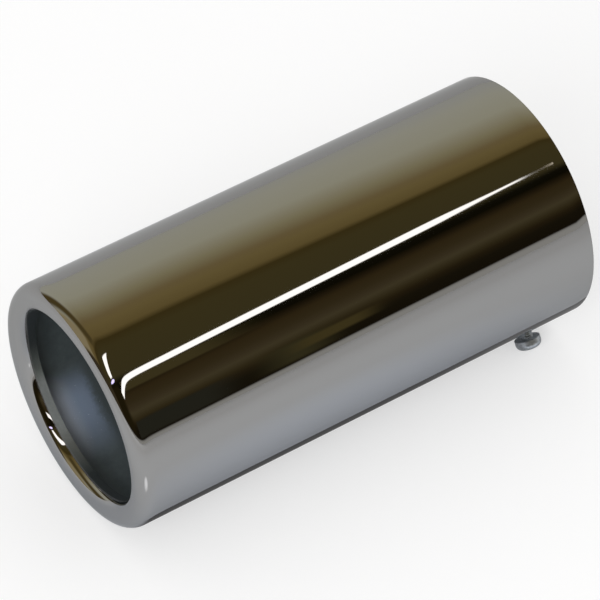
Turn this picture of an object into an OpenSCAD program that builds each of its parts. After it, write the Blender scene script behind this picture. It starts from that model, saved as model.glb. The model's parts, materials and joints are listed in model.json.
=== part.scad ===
// Exhaust tip: a chromed sheet steel sleeve with a rolled-in lip at the mouth and one clamp screw near
// its rear edge. It lies on its side, on its lowest line and on the head of the screw.
// The tube runs along X, with the mouth at -X. Z is up, and the origin is on the surface that the tip
// lies on, below the middle of the tube.

/* [Sleeve] */
// Outer diameter of the tube
tube_d = 76; // [60:0.5:110]
// Length from the lip to the rear edge
tube_length = 155; // [110:1:240]
// Thickness of the sheet
wall = 1.2; // [0.8:0.1:2]

/* [Rolled lip] */
// Radius on the outside of the lip, where the wall starts to turn in
lip_outer_r = 4.4; // [2.6:0.1:7]
// Width of the flat crown between the two bends of the lip
lip_crown = 0.2; // [0.2:0.1:3]
// Radius of the second bend, which turns the sheet back into the tube
lip_inner_r = 3.4; // [1.5:0.1:5]
// Depth of the turned-back edge behind the crown
lip_return = 6.4; // [5.2:0.1:12]

/* [Clamp screw] */
// Nominal thread diameter
thread_d = 4; // [3:0.5:6]
// Length of the shank under the head
shank_length = 20; // [14:0.5:26]
// Diameter of the pan head
head_d = 8; // [6.5:0.1:11]
// Height of the pan head
head_h = 3.1; // [2.4:0.1:4.5]
// Radius of the rounding round the top of the head
head_round = 1.7; // [0.6:0.1:2.2]
// Distance that the head stands off the wall, which is the screw's travel until it seats
head_standoff = 3.5; // [1:0.1:5]
// Distance from the rear edge of the tube to the screw's axis
screw_inset = 12; // [8:0.5:40]
// Length of the bevel at the tip of the shank
tip_bevel = 0.6; // [0.3:0.1:1]

/* [Cross recess] */
// Width across the wings of the recess
recess_w = 4.4; // [3:0.1:5]
// Thickness of a wing
recess_t = 0.9; // [0.6:0.1:1.2]
// Depth of the recess
recess_depth = 1.9; // [1:0.1:2.2]
// Slope that narrows each wing towards the bottom of the recess
recess_slope = 26; // [10:1:30]

/* [Weld nut] */
// Width across the flats of the hexagon
nut_flats = 9; // [8:0.1:12]
// Height of the hexagon
nut_h = 3.5; // [2.5:0.1:5]
// Diameter of the round pilot that centres the nut in the wall
pilot_d = 6; // [5:0.1:8.5]
// Depth of the pilot in the hole
pilot_h = 0.8; // [0.3:0.1:0.8]
// Angle of the bevel on the free corners of the hexagon
nut_bevel = 30; // [15:1:40]

/* [Fits] */
// Radial clearance between the thread and the nut
thread_clearance = 0.05; // [0.02:0.01:0.1]
// Radial clearance between the pilot and the hole in the wall
pilot_clearance = 0.05; // [0.02:0.01:0.2]

/* [Hidden] */
$fn = 96;
eps = 0.01;

outer_r = tube_d / 2;
inner_r = outer_r - wall;
crown_outer_r = outer_r - lip_outer_r;
crown_inner_r = crown_outer_r - lip_crown;
mouth_r = crown_inner_r - lip_inner_r;

head_r = head_d / 2;
recess_taper = recess_depth * tan(recess_slope);

// The screw's turn round the tube, from straight down, at which the rounded edge of its head just
// touches the surface under the tube
round_centre_r = head_r - head_round;
round_centre_h = outer_r + head_standoff + head_h - head_round;
round_centre_distance = sqrt(round_centre_r ^ 2 + round_centre_h ^ 2);
screw_turn = atan(round_centre_r / round_centre_h)
    + acos((outer_r - head_round) / round_centre_distance);

// Puts its children on the screw's axis, with Z pointing out through the wall and zero on the tube's axis
module at_screw() {
    translate([tube_length / 2 - screw_inset, 0, outer_r])
        rotate([180 - screw_turn, 0, 0])
            children();
}

// A quarter of a flat ring one sheet thick, which bends from the first axis towards the second
module bend(centre, radius, left) {
    translate(centre)
        intersection() {
            difference() {
                circle(radius);
                circle(radius - wall);
            }
            translate([left ? -radius : 0, -radius])
                square(radius);
        }
}

// Half section of the sleeve, with the radius along X and the depth behind the crown along Y
module sleeve_section() {
    translate([inner_r, lip_outer_r])
        square([wall, tube_length - lip_outer_r]);
    bend([crown_outer_r, lip_outer_r], lip_outer_r, false);
    translate([crown_inner_r, 0])
        square([lip_crown, wall]);
    bend([crown_inner_r, lip_inner_r], lip_inner_r, true);
    translate([mouth_r, lip_inner_r])
        square([wall, lip_return - lip_inner_r]);
}

// The tube with its rolled-in lip, one piece of sheet, and the hole for the nut's pilot. The sweep starts
// 22.5 degrees round from the lowest line, so the tube lies on plain sheet and not on the joint
module sleeve() {
    color("silver")
        difference() {
            translate([-tube_length / 2, 0, outer_r])
                rotate([0, 90, 0])
                    rotate([0, 0, 22.5])
                        rotate_extrude()
                            sleeve_section();
            at_screw()
                translate([0, 0, inner_r - wall])
                    cylinder(h = 4 * wall, r = pilot_d / 2 + pilot_clearance);
        }
}

// Hexagon seated on the inside of the wall and trimmed to its curve, with the pilot in the hole
module weld_nut() {
    corner_r = nut_flats / 2 / cos(30);
    cone_h = corner_r * tan(nut_bevel);
    color("dimgray")
        difference() {
            union() {
                intersection() {
                    at_screw()
                        translate([0, 0, inner_r - nut_h])
                            cylinder(h = nut_h + wall, r = corner_r, $fn = 6);
                    translate([0, 0, outer_r])
                        rotate([0, 90, 0])
                            cylinder(h = 2 * tube_length, r = inner_r, center = true);
                    at_screw()
                        translate([0, 0, inner_r - nut_h])
                            cylinder(h = cone_h + nut_h, r1 = nut_flats / 2,
                                r2 = nut_flats / 2 + (cone_h + nut_h) / tan(nut_bevel));
                }
                at_screw()
                    translate([0, 0, inner_r - nut_h / 2])
                        cylinder(h = nut_h / 2 + pilot_h, r = pilot_d / 2);
            }
            at_screw()
                translate([0, 0, inner_r - nut_h - eps])
                    cylinder(h = nut_h + wall + 2 * eps, r = thread_d / 2 + thread_clearance);
        }
}

// Half section of the pan head, with its flat underside on X and its top edge rounded
module head_section() {
    square([head_r, head_h - head_round]);
    square([head_r - head_round, head_h]);
    translate([head_r - head_round, head_h - head_round])
        intersection() {
            circle(head_round);
            square(head_round);
        }
}

// One wing of the cross recess: a flat wedge that gets narrower towards the bottom
module recess_wing() {
    rotate([90, 0, 0])
        linear_extrude(height = recess_t, center = true)
            polygon([
                [-recess_w / 2, eps],
                [recess_w / 2, eps],
                [recess_w / 2 - recess_taper, -recess_depth],
                [recess_taper - recess_w / 2, -recess_depth]
            ]);
}

// Pan-head machine screw with a cross recess, part of the way out of its nut
module clamp_screw() {
    color("lightsteelblue")
        at_screw()
            translate([0, 0, outer_r + head_standoff])
                difference() {
                    union() {
                        rotate_extrude()
                            head_section();
                        translate([0, 0, tip_bevel - shank_length])
                            cylinder(h = shank_length - tip_bevel + eps, r = thread_d / 2);
                        translate([0, 0, -shank_length])
                            cylinder(h = tip_bevel, r1 = thread_d / 2 - tip_bevel, r2 = thread_d / 2);
                    }
                    translate([0, 0, head_h]) {
                        recess_wing();
                        rotate([0, 0, 90])
                            recess_wing();
                    }
                }
}

sleeve();
weld_nut();
clamp_screw();
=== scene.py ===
# The looks of a chromed exhaust tip that lies on a pale floor.
import json
import math

import bmesh
import bpy
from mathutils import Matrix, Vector


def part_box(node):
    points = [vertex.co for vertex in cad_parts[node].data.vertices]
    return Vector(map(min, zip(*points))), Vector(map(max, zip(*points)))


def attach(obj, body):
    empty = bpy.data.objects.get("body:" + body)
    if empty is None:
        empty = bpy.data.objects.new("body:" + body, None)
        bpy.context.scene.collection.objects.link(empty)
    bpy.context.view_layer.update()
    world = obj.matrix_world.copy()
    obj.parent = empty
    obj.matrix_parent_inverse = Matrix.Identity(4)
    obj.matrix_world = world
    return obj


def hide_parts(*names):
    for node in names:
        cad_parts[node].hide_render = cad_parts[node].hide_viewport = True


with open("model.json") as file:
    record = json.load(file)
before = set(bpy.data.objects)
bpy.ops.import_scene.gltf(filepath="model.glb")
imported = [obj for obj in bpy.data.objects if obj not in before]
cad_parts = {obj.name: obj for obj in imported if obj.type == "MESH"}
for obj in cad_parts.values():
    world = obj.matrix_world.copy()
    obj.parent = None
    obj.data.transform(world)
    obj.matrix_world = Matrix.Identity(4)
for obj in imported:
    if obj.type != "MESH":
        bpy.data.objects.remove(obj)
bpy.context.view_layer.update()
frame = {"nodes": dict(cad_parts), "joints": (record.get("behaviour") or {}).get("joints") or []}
scene = bpy.context.scene

sleeveLow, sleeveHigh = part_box("sleeve")
tubeRadius = (sleeveHigh.z - sleeveLow.z) / 2
mouthX, rearX = sleeveLow.x, sleeveHigh.x
axisZ = sleeveLow.z + tubeRadius
screwJoint = frame["joints"][0]
screwOut = Vector(screwJoint["axis"]).normalized()  # from the tube's axis out through the wall


class Wire:
    # one shader socket, so that shader maths reads as plain expressions
    def __init__(self, graph, socket):
        self.graph = graph
        self.socket = socket

    def __add__(self, other):
        return self.graph.maths("ADD", self, other)

    __radd__ = __add__

    def __sub__(self, other):
        return self.graph.maths("SUBTRACT", self, other)

    def __rsub__(self, other):
        return self.graph.maths("SUBTRACT", other, self)

    def __mul__(self, other):
        return self.graph.maths("MULTIPLY", self, other)

    __rmul__ = __mul__

    def __truediv__(self, other):
        return self.graph.maths("DIVIDE", self, other)

    def __rtruediv__(self, other):
        return self.graph.maths("DIVIDE", other, self)

    def __pow__(self, other):
        return self.graph.maths("POWER", self, other)

    def __rpow__(self, other):
        return self.graph.maths("POWER", other, self)


class Graph:
    def __init__(self, tree):
        self.tree = tree
        tree.nodes.clear()

    def put(self, kind, settings=None, sockets=None, output=0):
        node = self.tree.nodes.new(kind)
        for name, value in (settings or {}).items():
            if name == "stops":
                self.setStops(node.color_ramp, value)
            else:
                setattr(node, name, value)
        for name, value in (sockets or {}).items():
            if isinstance(value, Wire):
                self.tree.links.new(value.socket, node.inputs[name])
            else:
                node.inputs[name].default_value = value
        return Wire(self, node.outputs[output]) if len(node.outputs) else node

    def setStops(self, ramp, stops):
        while len(ramp.elements) > 1:
            ramp.elements.remove(ramp.elements[-1])
        for index, (position, colour) in enumerate(stops):
            element = ramp.elements[0] if index == 0 else ramp.elements.new(position)
            element.position = position
            element.color = (*colour, 1)

    def maths(self, operation, first, second=0.0):
        return self.put("ShaderNodeMath", {"operation": operation}, {0: first, 1: second})

    def between(self, value, low, high):
        # 0 below low, 1 above high, with a soft passage
        return self.put("ShaderNodeMapRange", {"interpolation_type": "SMOOTHSTEP"},
                        {"Value": value, "From Min": low, "From Max": high})

    def arc(self, turn, angles):
        # 1 on an arc and 0 off it: the angles say where it starts, is full, starts to fade and ends
        first, full, fade, last = angles
        return self.between(turn, first, full) * (1 - self.between(turn, fade, last))

    def window(self, value, low, high, soft):
        # 1 between low and high, with edges that are as soft as the width given
        return self.arc(value, (low - soft / 2, low + soft / 2, high - soft / 2, high + soft / 2))

    def turnRound(self, y, z):
        # how far round the X axis, 0 to 1, from straight down by way of the near side
        return self.maths("FRACT", self.maths("ARCTAN2", y * -1, z * -1) / math.tau + 1)

    def mixColour(self, factor, first, second):
        pair = {0: factor}
        for index, colour in ((6, first), (7, second)):
            pair[index] = colour if isinstance(colour, Wire) else (*colour, 1)
        return self.put("ShaderNodeMix", {"data_type": "RGBA"}, pair, 2)

    def noise(self, where, scale, detail=3, roughness=0.5):
        return self.put("ShaderNodeTexNoise", None,
                        {"Vector": where, "Scale": scale, "Detail": detail, "Roughness": roughness})

    def blotches(self, where, scale, detail, roughness, low, high):
        return self.between(self.noise(where, scale, detail, roughness), low, high)

    def parts(self, vector):
        split = self.put("ShaderNodeSeparateXYZ", None, {0: vector})
        outputs = split.socket.node.outputs
        return [Wire(self, outputs[index]) for index in range(3)]

    def place(self):
        return self.put("ShaderNodeTexCoord", output=3)

    def surface(self, sockets):
        shader = self.put("ShaderNodeBsdfPrincipled", None, sockets)
        self.put("ShaderNodeOutputMaterial", None, {"Surface": shader})


def newMaterial(name):
    material = bpy.data.materials.new(name)
    material.use_nodes = True
    return material, Graph(material.node_tree)


def linear(*display):
    # from a colour as the screen shows it, 0 to 255, to the linear values that shaders take
    return tuple(((c / 255 + 0.055) / 1.055) ** 2.4 if c > 10 else c / 255 / 12.92 for c in display)


def dress(nodeName, material):
    piece = frame["nodes"][nodeName]
    piece.data.materials.clear()
    piece.data.materials.append(material)
    return piece


# Camera

cameraPlace = {
    "azimuth": -33.5,
    "elevation": 47.0,
    "distance": 1.084,
    "lens": 224.5,
    "sensor": 36.0,
}


def makeCamera(c):
    azimuth, elevation = math.radians(c["azimuth"]), math.radians(c["elevation"])
    target = Vector(((mouthX + rearX) / 2, 0, axisZ))
    back = Vector((math.sin(azimuth) * math.cos(elevation),
                   -math.cos(azimuth) * math.cos(elevation),
                   math.sin(elevation)))
    data = bpy.data.cameras.new("camera")
    data.lens = c["lens"]
    data.sensor_width = c["sensor"]
    data.clip_end = 50
    camera = bpy.data.objects.new("camera", data)
    camera.location = target + back * c["distance"]
    camera.rotation_euler = back.to_track_quat("Z", "Y").to_euler()
    scene.collection.objects.link(camera)
    scene.camera = camera
    print("camera: stands at", [round(v, 3) for v in camera.location])


makeCamera(cameraPlace)


# Studio: what the chrome shows. Angles go round the tube's axis in degrees: 0 is straight down,
# 90 the near side, 180 overhead and 270 the far side. Depth is how far a direction points to the rear.

studio = {
    "chromeShare": 0.40,  # of the light that the chrome gives back
    "roomBands": [  # the angle at which each band of the room is full, and how the chrome shows it
        # the end of the pale floor
        (84, (124, 122, 117)),
        (92.6, (119, 117, 112)),
        # the room's dark foot and its dim warm wall
        (93.7, (17, 13, 6)),
        (103, (20, 16, 8)),
        (108, (30, 23, 11)),
        (112, (42, 35, 19)),
        (118, (57, 50, 33)),
        (122, (51, 43, 28)),
        (127, (45, 37, 21)),
        (134, (41, 32, 16)),
        (138, (28, 21, 10)),
        # the black gap beside the strip lamp
        (142, (11, 9, 3)),
        (147, (13, 11, 5)),
        # the brown wall above the lamp
        (152, (51, 45, 25)),
        (174, (53, 46, 24)),
        (180, (50, 41, 18)),
        # the ceiling, warm at first and neutral at its far end
        (184, (84, 71, 40)),
        (193, (92, 79, 47)),
        (199, (93, 80, 52)),
        (211, (112, 105, 80)),
        (217, (119, 113, 92)),
        (229, (131, 128, 111)),
        (254, (135, 133, 120)),
        (270, (134, 133, 126)),
    ],
    "cards": [  # angles and depths between which each card shows, with its soft edges, and its colour
        {"angles": (96, 145, 7), "depths": (-1.2, -0.45, 0.3), "colour": (26, 21, 8)},
        {"angles": (137, 145.5, 2), "depths": (-0.2, 0.352, 0.03), "colour": (54, 47, 26)},
        {"angles": (95, 110, 3), "depths": (-0.2, 0.345, 0.016), "colour": (31, 30, 23)},
        {"angles": (96, 112, 4), "depths": (0.360, 0.376, 0.016), "colour": (45, 41, 24)},
        {"angles": (102.5, 110, 3), "depths": (0.368, 0.389, 0.010), "colour": (56, 48, 25)},
        {"angles": (188, 360, 10), "depths": (-0.62, -0.30, 0.18), "colour": (62, 52, 28)},
        {"angles": (204, 360, 12), "depths": (-1.2, -0.68, 0.12), "colour": (118, 107, 80)},
        {"angles": (92.5, 360, 1), "depths": (-1.2, -0.93, 0.04), "colour": (48, 41, 27)},
    ],
    "wallDepths": (0.33, 0.46),  # the depths that the straight wall shows, from its front to its rear
    "levelDepth": 0.35,  # the depth at which neither the horizon nor the strip lamp is shifted
    "bandShift": 16,  # degrees by which the bands overhead turn from the front to the rear
    "bandAngles": (150, 212),  # angles over which that shift sets in
    "horizonShift": 26,  # degrees by which the lower bands turn for each unit of depth
    "horizonAngles": (100, 150),  # angles over which that shift dies out
    "stripFace": (0.300, -0.755, -0.583),  # square to the plane through the strip lamp and the tip
    "stripLean": 21,  # degrees by which the strip lamp turns for each unit of depth
    "stripDepths": (-0.39, 0.4370),
    "stripHeights": (0.2, 0.3),  # heights over which it comes into view
    "stripHalfWidth": (2.9, 2.15, 0.70),  # in degrees, over the bend, along the wall and at the rear
    "frontPassage": (0.05, 0.32),  # depths over which its width passes from the bend's to the wall's
    "rearPassage": (0.410, 0.434),
    "stripSoft": (0.35, 0.004),  # how soft its long edges are in degrees, and its ends in depth
    "endDepths": (0.4450, 0.4495),  # a short dim piece past its rear end
    "endSoft": 0.003,
    "sideAngles": (153.5, 172.5),  # the strip lamp at the side, from its foot to its head
    "sideMiddle": (-0.64, -0.20),  # depth of its middle at the foot and the head, and half its width there
    "sideHalf": (0.085, 0.26),
    "sideSoft": (1.2, 0.02),
    "spotAt": (150.2, -0.685),  # angle and depth of the small round lamp, and half its size in each
    "spotHalf": (1.7, 0.19),
    "spotEdge": (0.55, 1.2),
    "warmGlow": (2.7, 2.58, 2.42),
    "endGlow": (1.5, 1.3, 1.0),
    "spotGlow": (2.4, 2.1, 3.4),
    "backdrop": 0.93,  # what the camera sees beyond the floor
    "softSky": [(0.0, 0.44), (0.25, 0.60), (0.6, 0.82), (1.0, 0.90)],  # height of the light, and its level
}


def bounced(s, colour):
    # how bright a direction is for the chrome to show it as the colour given
    return tuple(v / s["chromeShare"] for v in linear(*colour))


def roomColour(graph, s, turn, depth, offLevel):
    angle = turn * 360
    overhead = graph.between(angle, *s["bandAngles"]) * s["bandShift"]
    low = (1 - graph.between(angle, *s["horizonAngles"])) * s["horizonShift"]
    shift = (graph.between(depth, *s["wallDepths"]) - 0.5) * overhead - offLevel * low
    stops = [(at / 360, bounced(s, colour)) for at, colour in s["roomBands"]]
    seen = graph.put("ShaderNodeValToRGB", {"stops": stops}, {0: turn + shift / 360})
    for card in s["cards"]:
        mask = graph.window(angle, *card["angles"]) * graph.window(depth, *card["depths"])
        seen = graph.mixColour(mask, seen, bounced(s, card["colour"]))
    return seen


def addStripLamp(graph, s, seen, direction, depth, offLevel, z):
    # the lamp along the tube: a band of directions round the plane that is square to its face
    bend, front, rear = s["stripHalfWidth"]
    halfWidth = bend + graph.between(depth, *s["frontPassage"]) * (front - bend) \
        + graph.between(depth, *s["rearPassage"]) * (rear - front)
    side = graph.put("ShaderNodeVectorMath", {"operation": "DOT_PRODUCT"},
                     {0: direction, 1: Vector(s["stripFace"]).normalized()}, 1)
    away = graph.maths("ABSOLUTE", side * math.degrees(1) + offLevel * s["stripLean"]) - halfWidth
    edgeSoft, endSoft = s["stripSoft"]
    strip = (1 - graph.between(away, -edgeSoft, edgeSoft)) * graph.between(z, *s["stripHeights"])
    seen = graph.mixColour(strip * graph.window(depth, *s["stripDepths"], endSoft), seen, s["warmGlow"])
    return graph.mixColour(strip * graph.window(depth, *s["endDepths"], s["endSoft"]), seen, s["endGlow"])


def addSideLamps(graph, s, seen, angle, depth):
    # the lamp at the side, which leans and widens from its foot to its head, and the small round one
    foot, head = s["sideAngles"]
    footMiddle, headMiddle = s["sideMiddle"]
    footHalf, headHalf = s["sideHalf"]
    turnSoft, depthSoft = s["sideSoft"]
    rise = (angle - foot) / (head - foot)
    middle = rise * rise * (headMiddle - footMiddle) + footMiddle
    half = rise * (headHalf - footHalf) + footHalf
    beyond = graph.maths("ABSOLUTE", depth - middle) - half
    side = graph.window(angle, foot, head, turnSoft) * (1 - graph.between(beyond, -depthSoft, depthSoft))
    seen = graph.mixColour(side, seen, s["warmGlow"])

    offTurn = (angle - s["spotAt"][0]) / s["spotHalf"][0]
    offDepth = (depth - s["spotAt"][1]) / s["spotHalf"][1]
    spot = 1 - graph.between(offTurn * offTurn + offDepth * offDepth, *s["spotEdge"])
    return graph.mixColour(spot, seen, s["spotGlow"])


def makeWorld(s):
    world = bpy.data.worlds.new("studio")
    scene.world = world
    world.use_nodes = True
    graph = Graph(world.node_tree)
    direction = graph.put("ShaderNodeTexCoord", output=0)
    depth, y, z = graph.parts(direction)
    turn = graph.turnRound(y, z)
    wallFront, wallRear = s["wallDepths"]
    onWall = graph.maths("MINIMUM", graph.maths("MAXIMUM", depth, wallFront), wallRear)
    offLevel = onWall - s["levelDepth"]
    seen = roomColour(graph, s, turn, depth, offLevel)
    seen = addStripLamp(graph, s, seen, direction, depth, offLevel, z)
    seen = addSideLamps(graph, s, seen, turn * 360, depth)

    levels = [(height, (level,) * 3) for height, level in s["softSky"]]
    sky = graph.put("ShaderNodeValToRGB", {"stops": levels}, {0: z})
    rays = graph.put("ShaderNodeLightPath").socket.node.outputs
    shown = graph.mixColour(Wire(graph, rays["Is Camera Ray"]), seen, (s["backdrop"],) * 3)
    shown = graph.mixColour(Wire(graph, rays["Is Diffuse Ray"]), shown, sky)
    background = graph.put("ShaderNodeBackground", None, {"Color": shown})
    graph.put("ShaderNodeOutputWorld", None, {"Surface": background})
    print("studio: world with", len(s["roomBands"]), "bands and", len(s["cards"]), "cards")


def flatSheet(name, x, y, z):
    # a level rectangle between two values of x and two of y
    mesh = bpy.data.meshes.new(name)
    corners = [(x[i], y[j], z) for i, j in ((0, 0), (1, 0), (1, 1), (0, 1))]
    mesh.from_pydata(corners, [], [(0, 1, 2, 3)])
    sheet = bpy.data.objects.new(name, mesh)
    scene.collection.objects.link(sheet)
    return sheet


floorSheet = {
    "half": 6.0,
    # painted light and shade: near, middle, far and behind grade the floor from pale and bluish by the tube
    # to darker further off, standing in for light that falls off with distance
    "near": (0.85, 0.895, 0.965),
    "middle": (0.73, 0.735, 0.73),
    "far": (0.62, 0.615, 0.60),
    "behind": (0.675, 0.67, 0.655),  # the far colour on the side away from the screw
    "nearPassage": (0.045, 0.125),  # how far from the origin near turns into middle, and middle into far
    "farPassage": (0.09, 0.45),
    "behindPassage": (0.05, 0.4),  # along Y
    "white": (0.50, 0.50, 0.50),  # for the camera only, with this glow: the chrome shows the colours above
    "glow": (0.50, 0.50, 0.50),
    "glint": {"at": (-0.106, -0.0765), "along": (0.37, 0.93), "half": (0.017, 0.009), "level": 0.75,
              "fade": 1.5},
    "roughness": 0.85,
    "specular": 0.1,
}


def makeFloor(f):
    half = f["half"]
    floor = flatSheet("floor", (-half, half), (-half, half), 0)
    material, graph = newMaterial("floor")
    x, y, z = graph.parts(graph.place())
    reach = (x * x + y * y) ** 0.5
    # painted light and shade: the floor turns from its pale near colour to its darker far colours with
    # distance from the origin, while the camera sees plain white
    colour = graph.mixColour(graph.between(reach, *f["nearPassage"]), f["near"], f["middle"])
    farColour = graph.mixColour(graph.between(y, *f["behindPassage"]), f["far"], f["behind"])
    colour = graph.mixColour(graph.between(reach, *f["farPassage"]), colour, farColour)
    toCamera = graph.put("ShaderNodeLightPath")
    colour = graph.mixColour(toCamera, colour, f["white"])

    glint = f["glint"]  # a painted highlight: a soft glowing spot on the floor, standing in for a pool of light, that only the chrome shows
    offX, offY = x - glint["at"][0], y - glint["at"][1]
    alongX, alongY = glint["along"]
    lengthwise = (offX * alongX + offY * alongY) / glint["half"][0]
    crosswise = (offY * alongX - offX * alongY) / glint["half"][1]
    bright = 1 - graph.between(lengthwise * lengthwise + crosswise * crosswise, 0.0, glint["fade"])
    bright = graph.mixColour(bright, (0, 0, 0), (glint["level"],) * 3)
    glow = graph.mixColour(toCamera, bright, f["glow"])
    graph.surface({"Base Color": colour, "Roughness": f["roughness"], "Specular IOR Level": f["specular"],
                   "Emission Color": glow, "Emission Strength": 1.0})
    floor.data.materials.append(material)
    print("studio: floor laid")


# painted shadow: the dark card that stands in for the contact shadow beside the tube
shadowFlag = {
    "x": (-0.0760, 0.112),
    "y": (-0.0333, -0.0150),
    "z": 0.0003,
    "level": 0.15,
    "rearLevel": 0.32,  # its level at the rear, to which it passes from rearFrom on
    "rearFrom": 0.02,
    "soft": (0.010, 0.0012, 0.0040),  # how soft its ends, its near edge and its far edge are
}


def makeFlag(f):
    # painted shadow: a narrow dark card beside the lowest line, standing in for the floor's contact shadow
    # under the tube, which only the chrome shows: the dark line along its foot
    flag = flatSheet("shadowFlag", f["x"], f["y"], f["z"])
    flag.visible_camera = False
    flag.visible_diffuse = False
    flag.visible_shadow = False
    material, graph = newMaterial("shadowFlag")
    x, y, z = graph.parts(graph.place())
    ends, nearEdge, farEdge = f["soft"]
    (xLow, xHigh), (yLow, yHigh) = f["x"], f["y"]
    toRear = graph.between(x, f["rearFrom"], xHigh)
    level = graph.mixColour(toRear, (f["level"],) * 3, (f["rearLevel"],) * 3)
    cover = graph.between(x, xLow, xLow + ends) * (1 - graph.between(x, xHigh - ends, xHigh)) \
        * graph.between(y, yLow, yLow + nearEdge) * (1 - graph.between(y, yHigh - farEdge, yHigh))
    glow = graph.put("ShaderNodeEmission", None, {"Color": level})
    clear = graph.put("ShaderNodeBsdfTransparent")
    shown = graph.put("ShaderNodeMixShader", None, {0: cover, 1: clear, 2: glow})
    graph.put("ShaderNodeOutputMaterial", None, {"Surface": shown})
    flag.data.materials.append(material)
    print("studio: dark flag laid")


softLamp = {"place": (-1.3, -1.0, 1.15), "size": 0.9, "energy": 13}


def makeLamp(s):
    data = bpy.data.lights.new("softLamp", "AREA")
    data.energy = s["energy"]
    data.size = s["size"]
    lamp = bpy.data.objects.new("softLamp", data)
    lamp.location = s["place"]
    lamp.rotation_euler = Vector(s["place"]).to_track_quat("Z", "Y").to_euler()
    lamp.visible_glossy = False
    scene.collection.objects.link(lamp)
    print("studio: soft lamp hung")


makeWorld(studio)
makeFloor(floorSheet)
makeFlag(shadowFlag)
makeLamp(softLamp)


# Sleeve

# Depths count from the mouth and angles go round the axis as in the studio. A set of four angles says where
# something starts, is full, starts to fade and ends.
chrome = {
    "colour": (0.40, 0.40, 0.405),
    "edgeTint": 0.70,
    "roughness": 0.03,
    "wall": 0.0012,
    "faceShares": (0.4, 0.6),  # how deep in the wall the outside ends and the inside starts

    "dullDepths": (0.0034, 0.0042),  # over which the chrome turns into the dull finish of the inside
    "dullAdvance": 0.0034,  # how much further forward that is on the upper side, and the angles there
    "advanceAngles": (180, 200, 212, 272),
    "inwardFrom": 0.0012,  # how far inside the crown the advance counts in full, and from where it starts
    "inwardTo": 0.0002,
    "coverSoft": 0.0004,
    "insideDark": (0.085, 0.105, 0.108),
    "insidePale": (0.125, 0.150, 0.155),
    "insideRoughness": 0.42,
    "insideMetal": 0.2,
    "mottle": (420, 6, 0.7, 0.25, 0.75),  # scale, detail, roughness and the levels that are stretched
    "cloud": (60, 2, 0.5, 0.3, 0.7),
    "mottleShare": 0.6,  # the rest is the cloud's
    "insideFrontLight": (0.21, 0.235, 0.235),  # painted light on the strip right behind the turned-back edge, which lifts the shade that the edge casts there
    "frontDepths": (0.0066, 0.0135),

    "paintedLightPatch": (0.28, 0.35, 0.465),  # painted light: the pale patch on the lit side
    "patchAngles": (301, 319, 322, 352),
    "patchDepths": (0.0185, 0.0225),
    "patchRagged": 0.002,
    # painted light, paler still towards the front of the patch
    "paintedLightFront": (0.82, 0.87, 0.95),
    "paintedLightFrontDepths": (0.0066, 0.0160),
    # painted glints: bright specks that show only within the painted light patch
    "paintedGlint": (0.75, 0.85, 0.95),
    "paintedGlintScale": 2600,
    "paintedGlintLevels": (0.82, 0.85),
    # painted shade: the inside darkens from 14 to 34 mm deep, where less light reaches
    "paintedDeepShadeDepths": (0.014, 0.034),
    "paintedDeepShadeShare": 0.8,
    "paintedDeepShade": (0.0425, 0.0525, 0.054),
    "deepSteel": (0.22, 0.225, 0.23),
    "deepDepths": (0.035, 0.090),
    "deepMottle": 0.3,

    "edgeRadius": 0.0327,  # within this the inside is the turned-back edge
    "edgeSoft": 0.0006,
    # painted light and shade on the turned-back edge: lit over these angles, painted paler over a narrower
    # span, and painted dark elsewhere
    "edgeLitAngles": (271, 301, 331, 366),
    "edgeGrey": (0.15, 0.175, 0.16),
    "edgeBrown": (0.21, 0.195, 0.17),
    "edgePaintedShade": (0.034, 0.040, 0.041),
    "edgePaintedLight": (0.30, 0.32, 0.31),
    "edgePaintedLightAngles": (290, 304, 324, 342),
    "edgeMottle": 0.25,

    "outerBend": 0.0044,  # radii of the two bends
    "innerBend": 0.0034,
    "crownOuter": 0.0336,  # radii between which the lip's crown is flat
    "crownInner": 0.0334,
    "ease": 0.0012,  # how softly the wall passes into the outer bend, and the inner bend into the edge
    "innerEase": 0.0018,
    "innerFlatness": 2.2,  # how far the inner bend stays flat beside the crown before it turns in
    "skinSlack": 0.0003,  # how far under a bend's surface its normal still holds, and how softly that ends
    "skinSoft": 0.0001,

    "cutFrom": 0.00012,  # before the rear edge, where the cut face starts and is full
    "cutTo": 0.00004,
    "cutDull": 0.3,
    "rimReach": 0.0040,  # length of the slight bend of the reflections at the rear edge
    "rimTilt": 0.10,
    "rimSteel": (0.22, 0.22, 0.225),
}


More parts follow.
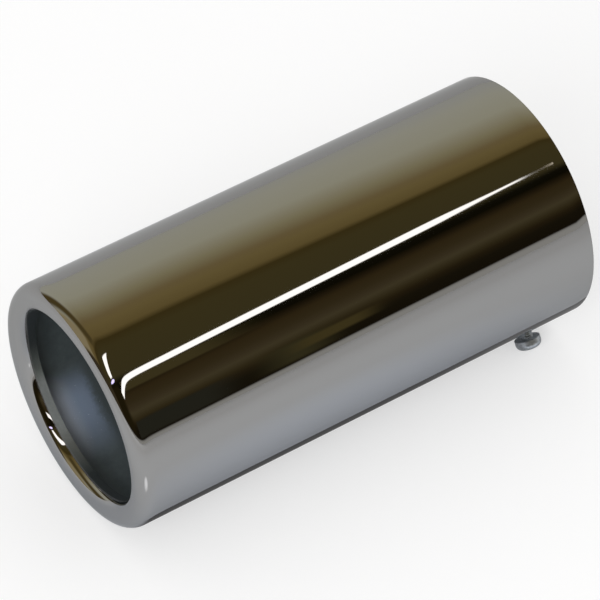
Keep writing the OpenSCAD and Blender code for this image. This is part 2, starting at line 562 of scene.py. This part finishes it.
def insideColour(graph, c, where, depth, radius, turn):
    mottle = graph.blotches(where, *c["mottle"])
    cloud = graph.blotches(where, *c["cloud"])
    mixed = mottle * c["mottleShare"] + cloud * (1 - c["mottleShare"])
    colour = graph.mixColour(mixed, c["insideDark"], c["insidePale"])
    # painted light: the strip right behind the turned-back edge is lifted out of its shade
    colour = graph.mixColour(graph.between(depth, *c["frontDepths"]), c["insideFrontLight"], colour)

    # painted light: a pale patch on the lit side of the inside, paler towards its front
    near, far = c["patchDepths"]
    ragged = (mottle - 0.5) * c["patchRagged"]
    paintedLightPatch = graph.arc(turn, c["patchAngles"]) * (1 - graph.between(depth + ragged, near, far))
    paintedLightColour = graph.mixColour(graph.between(depth, *c["paintedLightFrontDepths"]), c["paintedLightFront"], c["paintedLightPatch"])
    colour = graph.mixColour(paintedLightPatch, colour, paintedLightColour)
    # painted shade: darker further into the tube, where less light reaches
    paintedDeepShade = graph.between(depth, *c["paintedDeepShadeDepths"]) * c["paintedDeepShadeShare"]
    colour = graph.mixColour(paintedDeepShade, colour, c["paintedDeepShade"])
    deep = graph.between(depth, *c["deepDepths"]) * (mottle * c["deepMottle"] + (1 - c["deepMottle"]))
    colour = graph.mixColour(deep, colour, c["deepSteel"])
    # painted glints: bright specks within the painted light patch only
    paintedGlint = graph.between(graph.noise(where, c["paintedGlintScale"], 0), *c["paintedGlintLevels"]) * paintedLightPatch
    colour = graph.mixColour(paintedGlint, colour, c["paintedGlint"])

    edge, soft = c["edgeRadius"], c["edgeSoft"]
    ring = 1 - graph.between(radius + (mottle - 0.5) * soft, edge - soft, edge + soft)
    edgeColour = graph.mixColour(cloud, c["edgeGrey"], c["edgeBrown"])
    # painted light and shade: the turned-back edge is paler over part of its lit side and dark off it
    edgeColour = graph.mixColour(graph.arc(turn, c["edgePaintedLightAngles"]), edgeColour, c["edgePaintedLight"])
    edgeLit = graph.arc(turn, c["edgeLitAngles"]) * (mottle * c["edgeMottle"] + (1 - c["edgeMottle"]))
    edgeColour = graph.mixColour(edgeLit, c["edgePaintedShade"], edgeColour)
    return graph.mixColour(ring, colour, edgeColour)


def lipNormal(graph, c, depth, radius, y, height, chromed):
    # the section gives the normal: the direction from the middle of the nearest bend
    outer = graph.between(radius, c["crownInner"], c["crownOuter"])
    along = depth - c["innerBend"] - outer * (c["outerBend"] - c["innerBend"])
    ease = outer * (c["ease"] - c["innerEase"]) + c["innerEase"]
    along = (along - (along * along + ease * ease) ** 0.5) / 2
    inwards = graph.maths("MINIMUM", radius - c["crownInner"], 0)
    outwards = graph.maths("MAXIMUM", radius - c["crownOuter"], 0) + inwards
    away = (along * along + outwards * outwards) ** 0.5
    least = outer * (c["outerBend"] - c["innerBend"]) + c["innerBend"] - c["skinSlack"]
    onBend = graph.between(away - least, 0, c["skinSoft"]) * chromed
    outwards = outwards + inwards * ((inwards * (-1 / c["innerBend"])) ** c["innerFlatness"] - 1)
    spread = away * radius
    rounded = graph.put("ShaderNodeCombineXYZ", None,
                        {0: along / away, 1: outwards * y / spread, 2: outwards * height / spread})
    plain = graph.put("ShaderNodeNewGeometry", output=1)
    return graph.put("ShaderNodeMix", {"data_type": "VECTOR"}, {0: onBend, 4: plain, 5: rounded}, 1)


def chromeMaterial(c):
    material, graph = newMaterial("chrome")
    where = graph.place()
    x, y, z = graph.parts(where)
    depth = x - mouthX
    height = z - axisZ
    radius = (y * y + height * height) ** 0.5
    turn = graph.turnRound(y, height) * 360

    # inside is 1 on the dull inside and 0 on chrome, and cut is 1 on the cut face at the rear
    dullFrom, dullTo = c["dullDepths"]
    reached = depth + graph.arc(turn, c["advanceAngles"]) * c["dullAdvance"]
    inward = 1 - graph.between(radius, c["crownInner"] - c["inwardFrom"], c["crownInner"] - c["inwardTo"])
    covered = graph.maths("MAXIMUM", graph.between(depth, dullTo - c["coverSoft"], dullTo), inward)
    outsideTo, insideFrom = [tubeRadius - c["wall"] * share for share in c["faceShares"]]
    onInside = 1 - graph.between(radius, insideFrom, outsideTo)
    inside = onInside * graph.between(reached, dullFrom, dullTo) * covered
    length = rearX - mouthX
    cut = graph.between(depth, length - c["cutFrom"], length - c["cutTo"])

    dullColour = insideColour(graph, c, where, depth, radius, turn)
    colour = graph.mixColour(inside, c["colour"], dullColour)
    colour = graph.mixColour(cut, colour, c["rimSteel"])
    dull = inside * (c["insideRoughness"] - c["roughness"]) + cut * c["cutDull"]

    section = lipNormal(graph, c, depth, radius, y, height, (1 - cut) * (1 - inside))
    rim = graph.between(depth, length - c["rimReach"], length) * c["rimTilt"]
    lean = graph.put("ShaderNodeCombineXYZ", None, {0: rim * (1 - inside)})
    tilted = graph.put("ShaderNodeVectorMath", {"operation": "ADD"}, {0: section, 1: lean})
    normal = graph.put("ShaderNodeVectorMath", {"operation": "NORMALIZE"}, {0: tilted})
    graph.surface({
        "Base Color": colour,
        "Metallic": 1 - inside * (1 - c["insideMetal"]),
        "Roughness": dull + c["roughness"],
        "Specular Tint": (c["edgeTint"], c["edgeTint"], c["edgeTint"], 1),
        "Normal": normal,
    })
    return material


dress("sleeve", chromeMaterial(chrome))
print("sleeve: chromed")


# Weld nut

nutSteel = {
    "dark": (0.182, 0.182, 0.189),
    "pale": (0.312, 0.312, 0.324),
    "grainScale": 1500,
    "roughness": 0.42,
}


def nutMaterial(n):
    material, graph = newMaterial("weldNut")
    grain = graph.noise(graph.place(), n["grainScale"])
    colour = graph.mixColour(grain, n["dark"], n["pale"])
    graph.surface({"Base Color": colour, "Metallic": 1.0, "Roughness": n["roughness"]})
    return material


dress("weld_nut", nutMaterial(nutSteel))
print("weld nut: finished")


# Clamp screw: the head of the CAD node on a shank with a true thread

zincPlate = {
    "dark": (0.56, 0.60, 0.64),
    "pale": (0.84, 0.88, 0.92),
    "cloud": (900, 3, 0.6, 0.3, 0.7),
    "roughness": (0.34, 0.44),
}
thread = {
    "core": 0.00160,
    "crest": 0.00198,
    "pitch": 0.0007,
    "around": 40,
    "ringsPerTurn": 14,
    "steepness": 1.7,  # of the flanks: with rootShare it sets how wide the flats at root and crest are
    "rootShare": 0.3,
    "tipBevel": 0.0006,
    "headFrom": 0.00297,  # radius past which a point of the CAD node belongs to the head
    "plainShank": 0.00202,  # radius within which its faces below the head are the plain shank
    "slack": 0.00001,
    "intoHead": 0.0001,
    "sharpFrom": 32,  # degrees
}


def zincMaterial(s):
    material, graph = newMaterial("zincPlate")
    cloud = graph.blotches(graph.place(), *s["cloud"])
    colour = graph.mixColour(cloud, s["dark"], s["pale"])
    smooth, rough = s["roughness"]
    graph.surface({"Base Color": colour, "Metallic": 1.0, "Roughness": cloud * (rough - smooth) + smooth})
    return material


def takeShankOff(work, t, foot):
    # gives back how far out from the tube's axis the shank's tip was and the head's underside is
    def placeOf(point):
        out = (point - foot).dot(screwOut)
        return out, (point - foot - screwOut * out).length

    places = {v: placeOf(v.co) for v in work.verts}
    tip = min(out for out, r in places.values())
    headFoot = min(out for out, r in places.values() if r > t["headFrom"])
    plain = {v for v, (out, r) in places.items() if r < t["plainShank"] and out < headFoot + t["slack"]}
    shank = [f for f in work.faces if all(v in plain for v in f.verts)]
    bmesh.ops.delete(work, geom=shank, context="FACES")
    loose = [v for v in work.verts if not v.link_faces]
    bmesh.ops.delete(work, geom=loose, context="VERTS")
    print("clamp screw: plain shank taken off")
    return tip, headFoot


def addThread(work, t, foot, tip, length):
    # rings of points from the tip on, each point as far off the axis as the thread is there
    across = Vector((1, 0, 0))
    third = screwOut.cross(across)
    step = t["pitch"] / t["ringsPerTurn"]
    rings = []
    for i in range(int(length / step) + 1):
        out = i * step
        ring = []
        for j in range(t["around"]):
            turn = j / t["around"]
            phase = (out / t["pitch"] - turn) % 1
            rise = min(max(t["steepness"] * (1 - abs(2 * phase - 1)) - t["rootShare"], 0), 1)
            radius = t["core"] + (t["crest"] - t["core"]) * rise
            radius = min(radius, t["crest"] - t["tipBevel"] + out)
            around = across * math.cos(math.tau * turn) + third * math.sin(math.tau * turn)
            ring.append(work.verts.new(foot + screwOut * (tip + out) + around * radius))
        rings.append(ring)
    for first, second in zip(rings, rings[1:]):
        for j in range(t["around"]):
            k = (j + 1) % t["around"]
            work.faces.new((first[j], first[k], second[k], second[j]))
    work.faces.new(rings[0][::-1])
    work.faces.new(rings[-1])


def makeScrew(t):
    cad = frame["nodes"]["clamp_screw"]
    low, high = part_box("clamp_screw")
    foot = Vector(((low.x + high.x) / 2, 0, axisZ))  # where the screw's axis meets the tube's
    mesh = cad.data.copy()
    mesh.transform(cad.matrix_world)
    work = bmesh.new()
    work.from_mesh(mesh)
    tip, headFoot = takeShankOff(work, t, foot)
    addThread(work, t, foot, tip, headFoot + t["intoHead"] - tip)
    bmesh.ops.recalc_face_normals(work, faces=work.faces)
    made = bpy.data.meshes.new("threadedScrew")
    work.to_mesh(made)
    work.free()
    for face in made.polygons:
        face.use_smooth = True
    made.set_sharp_from_angle(angle=math.radians(t["sharpFrom"]))
    screw = bpy.data.objects.new("threadedScrew", made)
    scene.collection.objects.link(screw)
    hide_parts("clamp_screw")
    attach(screw, "screw")
    made.materials.append(zincMaterial(zincPlate))
    print("clamp screw: threaded,", len(made.polygons), "faces")


makeScrew(thread)

scene.view_settings.view_transform = "Standard"
